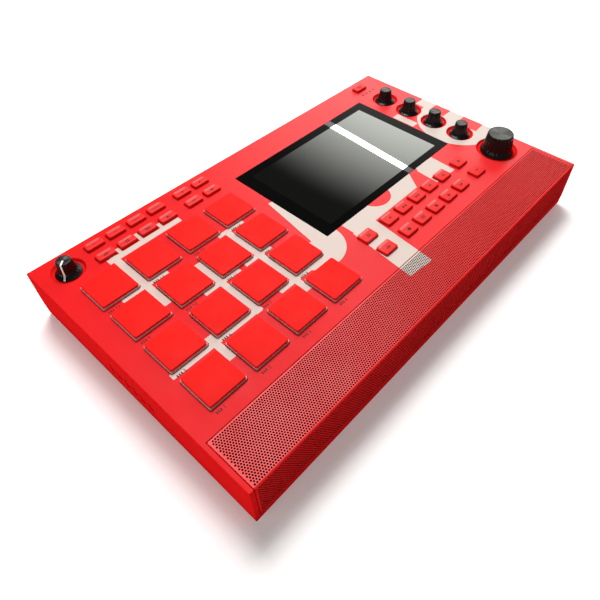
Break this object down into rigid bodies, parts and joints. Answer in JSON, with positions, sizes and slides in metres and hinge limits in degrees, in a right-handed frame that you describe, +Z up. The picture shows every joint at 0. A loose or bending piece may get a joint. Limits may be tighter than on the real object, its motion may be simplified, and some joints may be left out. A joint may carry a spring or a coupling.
{
  "type": "electronic drum pad",
  "caption": "Tabletop electronic drum pad: square pads in a grid, rows of keys, fluted knobs, a flush touch display and a perforated speaker grille folded over the front edge.",
  "frame": {"origin": "on the floor under the middle of the case", "axes": "+X to the player's right along the case's length, +Y to the back, +Z up"},
  "size_m": [0.409, 0.246, 0.065],
  "materials": {
    "case_plastic": "satin red",
    "grille_metal": "satin red paint",
    "pad_silicone": "matt silicone",
    "key_plastic": "satin",
    "knob_plastic": "satin black",
    "display_glass": "polished",
    "circuit_board": "solder mask",
    "battery_wrap": "satin",
    "speaker_parts": "matt black",
    "screw_steel": "black zinc",
    "foot_rubber": "matt",
    "shaft_metal": "turned",
    "button_plastic": "satin"
  },
  "bodies": {
    "case": {"top_shell": "case_plastic", "bottom_cover": "case_plastic", "speaker_grille": "grille_metal", "touch_display": "display_glass", "circuit_boards": "circuit_board", "battery_pack": "battery_wrap", "speaker_drivers": "speaker_parts", "case_screws": "screw_steel", "rubber_feet": "foot_rubber"},
    "pad_01": {"pad_01": "pad_silicone"},
    "pad_02": {"pad_02": "pad_silicone"},
    "pad_03": {"pad_03": "pad_silicone"},
    "pad_04": {"pad_04": "pad_silicone"},
    "pad_05": {"pad_05": "pad_silicone"},
    "pad_06": {"pad_06": "pad_silicone"},
    "pad_07": {"pad_07": "pad_silicone"},
    "pad_08": {"pad_08": "pad_silicone"},
    "pad_09": {"pad_09": "pad_silicone"},
    "pad_10": {"pad_10": "pad_silicone"},
    "pad_11": {"pad_11": "pad_silicone"},
    "pad_12": {"pad_12": "pad_silicone"},
    "pad_13": {"pad_13": "pad_silicone"},
    "pad_14": {"pad_14": "pad_silicone"},
    "pad_15": {"pad_15": "pad_silicone"},
    "pad_16": {"pad_16": "pad_silicone"},
    "key_lower_01": {"key_lower_01": "key_plastic"},
    "key_lower_02": {"key_lower_02": "key_plastic"},
    "key_lower_03": {"key_lower_03": "key_plastic"},
    "key_lower_04": {"key_lower_04": "key_plastic"},
    "key_lower_05": {"key_lower_05": "key_plastic"},
    "key_lower_06": {"key_lower_06": "key_plastic"},
    "key_lower_07": {"key_lower_07": "key_plastic"},
    "key_lower_08": {"key_lower_08": "key_plastic"},
    "key_lower_09": {"key_lower_09": "key_plastic"},
    "key_lower_10": {"key_lower_10": "key_plastic"},
    "key_lower_11": {"key_lower_11": "key_plastic"},
    "key_lower_12": {"key_lower_12": "key_plastic"},
    "key_lower_13": {"key_lower_13": "key_plastic"},
    "key_lower_14": {"key_lower_14": "key_plastic"},
    "key_upper_01": {"key_upper_01": "key_plastic"},
    "key_upper_02": {"key_upper_02": "key_plastic"},
    "key_upper_03": {"key_upper_03": "key_plastic"},
    "key_upper_04": {"key_upper_04": "key_plastic"},
    "key_upper_05": {"key_upper_05": "key_plastic"},
    "key_upper_06": {"key_upper_06": "key_plastic"},
    "key_upper_07": {"key_upper_07": "key_plastic"},
    "key_upper_08": {"key_upper_08": "key_plastic"},
    "key_upper_09": {"key_upper_09": "key_plastic"},
    "key_upper_10": {"key_upper_10": "key_plastic"},
    "key_upper_11": {"key_upper_11": "key_plastic"},
    "key_upper_12": {"key_upper_12": "key_plastic"},
    "key_knob_bank": {"key_knob_bank": "key_plastic"},
    "parameter_knob_1": {"parameter_knob_1": "knob_plastic"},
    "parameter_knob_2": {"parameter_knob_2": "knob_plastic"},
    "parameter_knob_3": {"parameter_knob_3": "knob_plastic"},
    "parameter_knob_4": {"parameter_knob_4": "knob_plastic"},
    "volume_knob": {"volume_knob": "knob_plastic"},
    "encoder_shaft": {"encoder_shaft": "shaft_metal"},
    "encoder_knob": {"encoder_knob": "knob_plastic"},
    "power_button": {"power_button": "button_plastic"}
  },
  "joints": [
    {"name": "pad_01_press", "type": "slide", "parent": "case", "child": "pad_01", "axis": [0, 0, -1], "range_m": [0, 0.001], "stiffness_N_per_m": 1500, "springref_m": -0.0005},
    {"name": "pad_02_press", "type": "slide", "parent": "case", "child": "pad_02", "axis": [0, 0, -1], "range_m": [0, 0.001], "stiffness_N_per_m": 1500, "springref_m": -0.0005},
    {"name": "pad_03_press", "type": "slide", "parent": "case", "child": "pad_03", "axis": [0, 0, -1], "range_m": [0, 0.001], "stiffness_N_per_m": 1500, "springref_m": -0.0005},
    {"name": "pad_04_press", "type": "slide", "parent": "case", "child": "pad_04", "axis": [0, 0, -1], "range_m": [0, 0.001], "stiffness_N_per_m": 1500, "springref_m": -0.0005},
    {"name": "pad_05_press", "type": "slide", "parent": "case", "child": "pad_05", "axis": [0, 0, -1], "range_m": [0, 0.001], "stiffness_N_per_m": 1500, "springref_m": -0.0005},
    {"name": "pad_06_press", "type": "slide", "parent": "case", "child": "pad_06", "axis": [0, 0, -1], "range_m": [0, 0.001], "stiffness_N_per_m": 1500, "springref_m": -0.0005},
    {"name": "pad_07_press", "type": "slide", "parent": "case", "child": "pad_07", "axis": [0, 0, -1], "range_m": [0, 0.001], "stiffness_N_per_m": 1500, "springref_m": -0.0005},
    {"name": "pad_08_press", "type": "slide", "parent": "case", "child": "pad_08", "axis": [0, 0, -1], "range_m": [0, 0.001], "stiffness_N_per_m": 1500, "springref_m": -0.0005},
    {"name": "pad_09_press", "type": "slide", "parent": "case", "child": "pad_09", "axis": [0, 0, -1], "range_m": [0, 0.001], "stiffness_N_per_m": 1500, "springref_m": -0.0005},
    {"name": "pad_10_press", "type": "slide", "parent": "case", "child": "pad_10", "axis": [0, 0, -1], "range_m": [0, 0.001], "stiffness_N_per_m": 1500, "springref_m": -0.0005},
    {"name": "pad_11_press", "type": "slide", "parent": "case", "child": "pad_11", "axis": [0, 0, -1], "range_m": [0, 0.001], "stiffness_N_per_m": 1500, "springref_m": -0.0005},
    {"name": "pad_12_press", "type": "slide", "parent": "case", "child": "pad_12", "axis": [0, 0, -1], "range_m": [0, 0.001], "stiffness_N_per_m": 1500, "springref_m": -0.0005},
    {"name": "pad_13_press", "type": "slide", "parent": "case", "child": "pad_13", "axis": [0, 0, -1], "range_m": [0, 0.001], "stiffness_N_per_m": 1500, "springref_m": -0.0005},
    {"name": "pad_14_press", "type": "slide", "parent": "case", "child": "pad_14", "axis": [0, 0, -1], "range_m": [0, 0.001], "stiffness_N_per_m": 1500, "springref_m": -0.0005},
    {"name": "pad_15_press", "type": "slide", "parent": "case", "child": "pad_15", "axis": [0, 0, -1], "range_m": [0, 0.001], "stiffness_N_per_m": 1500, "springref_m": -0.0005},
    {"name": "pad_16_press", "type": "slide", "parent": "case", "child": "pad_16", "axis": [0, 0, -1], "range_m": [0, 0.001], "stiffness_N_per_m": 1500, "springref_m": -0.0005},
    {"name": "key_lower_01_press", "type": "slide", "parent": "case", "child": "key_lower_01", "axis": [0, 0, -1], "range_m": [0, 0.0006], "stiffness_N_per_m": 1200, "springref_m": -0.0005},
    {"name": "key_lower_02_press", "type": "slide", "parent": "case", "child": "key_lower_02", "axis": [0, 0, -1], "range_m": [0, 0.0006], "stiffness_N_per_m": 1200, "springref_m": -0.0005},
    {"name": "key_lower_03_press", "type": "slide", "parent": "case", "child": "key_lower_03", "axis": [0, 0, -1], "range_m": [0, 0.0006], "stiffness_N_per_m": 1200, "springref_m": -0.0005},
    {"name": "key_lower_04_press", "type": "slide", "parent": "case", "child": "key_lower_04", "axis": [0, 0, -1], "range_m": [0, 0.0006], "stiffness_N_per_m": 1200, "springref_m": -0.0005},
    {"name": "key_lower_05_press", "type": "slide", "parent": "case", "child": "key_lower_05", "axis": [0, 0, -1], "range_m": [0, 0.0006], "stiffness_N_per_m": 1200, "springref_m": -0.0005},
    {"name": "key_lower_06_press", "type": "slide", "parent": "case", "child": "key_lower_06", "axis": [0, 0, -1], "range_m": [0, 0.0006], "stiffness_N_per_m": 1200, "springref_m": -0.0005},
    {"name": "key_lower_07_press", "type": "slide", "parent": "case", "child": "key_lower_07", "axis": [0, 0, -1], "range_m": [0, 0.0006], "stiffness_N_per_m": 1200, "springref_m": -0.0005},
    {"name": "key_lower_08_press", "type": "slide", "parent": "case", "child": "key_lower_08", "axis": [0, 0, -1], "range_m": [0, 0.0006], "stiffness_N_per_m": 1200, "springref_m": -0.0005},
    {"name": "key_lower_09_press", "type": "slide", "parent": "case", "child": "key_lower_09", "axis": [0, 0, -1], "range_m": [0, 0.0006], "stiffness_N_per_m": 1200, "springref_m": -0.0005},
    {"name": "key_lower_10_press", "type": "slide", "parent": "case", "child": "key_lower_10", "axis": [0, 0, -1], "range_m": [0, 0.0006], "stiffness_N_per_m": 1200, "springref_m": -0.0005},
    {"name": "key_lower_11_press", "type": "slide", "parent": "case", "child": "key_lower_11", "axis": [0, 0, -1], "range_m": [0, 0.0006], "stiffness_N_per_m": 1200, "springref_m": -0.0005},
    {"name": "key_lower_12_press", "type": "slide", "parent": "case", "child": "key_lower_12", "axis": [0, 0, -1], "range_m": [0, 0.0006], "stiffness_N_per_m": 1200, "springref_m": -0.0005},
    {"name": "key_lower_13_press", "type": "slide", "parent": "case", "child": "key_lower_13", "axis": [0, 0, -1], "range_m": [0, 0.0006], "stiffness_N_per_m": 1200, "springref_m": -0.0005},
    {"name": "key_lower_14_press", "type": "slide", "parent": "case", "child": "key_lower_14", "axis": [0, 0, -1], "range_m": [0, 0.0006], "stiffness_N_per_m": 1200, "springref_m": -0.0005},
    {"name": "key_upper_01_press", "type": "slide", "parent": "case", "child": "key_upper_01", "axis": [0, 0, -1], "range_m": [0, 0.0006], "stiffness_N_per_m": 1200, "springref_m": -0.0005},
    {"name": "key_upper_02_press", "type": "slide", "parent": "case", "child": "key_upper_02", "axis": [0, 0, -1], "range_m": [0, 0.0006], "stiffness_N_per_m": 1200, "springref_m": -0.0005},
    {"name": "key_upper_03_press", "type": "slide", "parent": "case", "child": "key_upper_03", "axis": [0, 0, -1], "range_m": [0, 0.0006], "stiffness_N_per_m": 1200, "springref_m": -0.0005},
    {"name": "key_upper_04_press", "type": "slide", "parent": "case", "child": "key_upper_04", "axis": [0, 0, -1], "range_m": [0, 0.0006], "stiffness_N_per_m": 1200, "springref_m": -0.0005},
    {"name": "key_upper_05_press", "type": "slide", "parent": "case", "child": "key_upper_05", "axis": [0, 0, -1], "range_m": [0, 0.0006], "stiffness_N_per_m": 1200, "springref_m": -0.0005},
    {"name": "key_upper_06_press", "type": "slide", "parent": "case", "child": "key_upper_06", "axis": [0, 0, -1], "range_m": [0, 0.0006], "stiffness_N_per_m": 1200, "springref_m": -0.0005},
    {"name": "key_upper_07_press", "type": "slide", "parent": "case", "child": "key_upper_07", "axis": [0, 0, -1], "range_m": [0, 0.0006], "stiffness_N_per_m": 1200, "springref_m": -0.0005},
    {"name": "key_upper_08_press", "type": "slide", "parent": "case", "child": "key_upper_08", "axis": [0, 0, -1], "range_m": [0, 0.0006], "stiffness_N_per_m": 1200, "springref_m": -0.0005},
    {"name": "key_upper_09_press", "type": "slide", "parent": "case", "child": "key_upper_09", "axis": [0, 0, -1], "range_m": [0, 0.0006], "stiffness_N_per_m": 1200, "springref_m": -0.0005},
    {"name": "key_upper_10_press", "type": "slide", "parent": "case", "child": "key_upper_10", "axis": [0, 0, -1], "range_m": [0, 0.0006], "stiffness_N_per_m": 1200, "springref_m": -0.0005},
    {"name": "key_upper_11_press", "type": "slide", "parent": "case", "child": "key_upper_11", "axis": [0, 0, -1], "range_m": [0, 0.0006], "stiffness_N_per_m": 1200, "springref_m": -0.0005},
    {"name": "key_upper_12_press", "type": "slide", "parent": "case", "child": "key_upper_12", "axis": [0, 0, -1], "range_m": [0, 0.0006], "stiffness_N_per_m": 1200, "springref_m": -0.0005},
    {"name": "key_knob_bank_press", "type": "slide", "parent": "case", "child": "key_knob_bank", "axis": [0, 0, -1], "range_m": [0, 0.0006], "stiffness_N_per_m": 1200, "springref_m": -0.0005},
    {"name": "parameter_knob_1_turn", "type": "hinge", "parent": "case", "child": "parameter_knob_1", "pos_m": [0.176, -0.0159, 0.0474], "axis": [0, 0, -1], "continuous": true},
    {"name": "parameter_knob_2_turn", "type": "hinge", "parent": "case", "child": "parameter_knob_2", "pos_m": [0.176, 0.0151, 0.0474], "axis": [0, 0, -1], "continuous": true},
    {"name": "parameter_knob_3_turn", "type": "hinge", "parent": "case", "child": "parameter_knob_3", "pos_m": [0.176, 0.0461, 0.0474], "axis": [0, 0, -1], "continuous": true},
    {"name": "parameter_knob_4_turn", "type": "hinge", "parent": "case", "child": "parameter_knob_4", "pos_m": [0.176, 0.0771, 0.0474], "axis": [0, 0, -1], "continuous": true},
    {"name": "volume_knob_turn", "type": "hinge", "parent": "case", "child": "volume_knob", "pos_m": [-0.1814, 0.1024, 0.0474], "axis": [0, 0, -1], "range_deg": [0, 300]},
    {"name": "encoder_push", "type": "slide", "parent": "case", "child": "encoder_shaft", "axis": [0, 0, -1], "range_m": [0, 0.0005], "stiffness_N_per_m": 3000, "springref_m": -0.0007},
    {"name": "encoder_turn", "type": "hinge", "parent": "encoder_shaft", "child": "encoder_knob", "pos_m": [0.1761, -0.0572, 0.0474], "axis": [0, 0, -1], "continuous": true},
    {"name": "power_button_press", "type": "slide", "parent": "case", "child": "power_button", "axis": [0, -1, 0], "range_m": [0, 0.002], "stiffness_N_per_m": 400, "springref_m": -0.002}
  ]
}
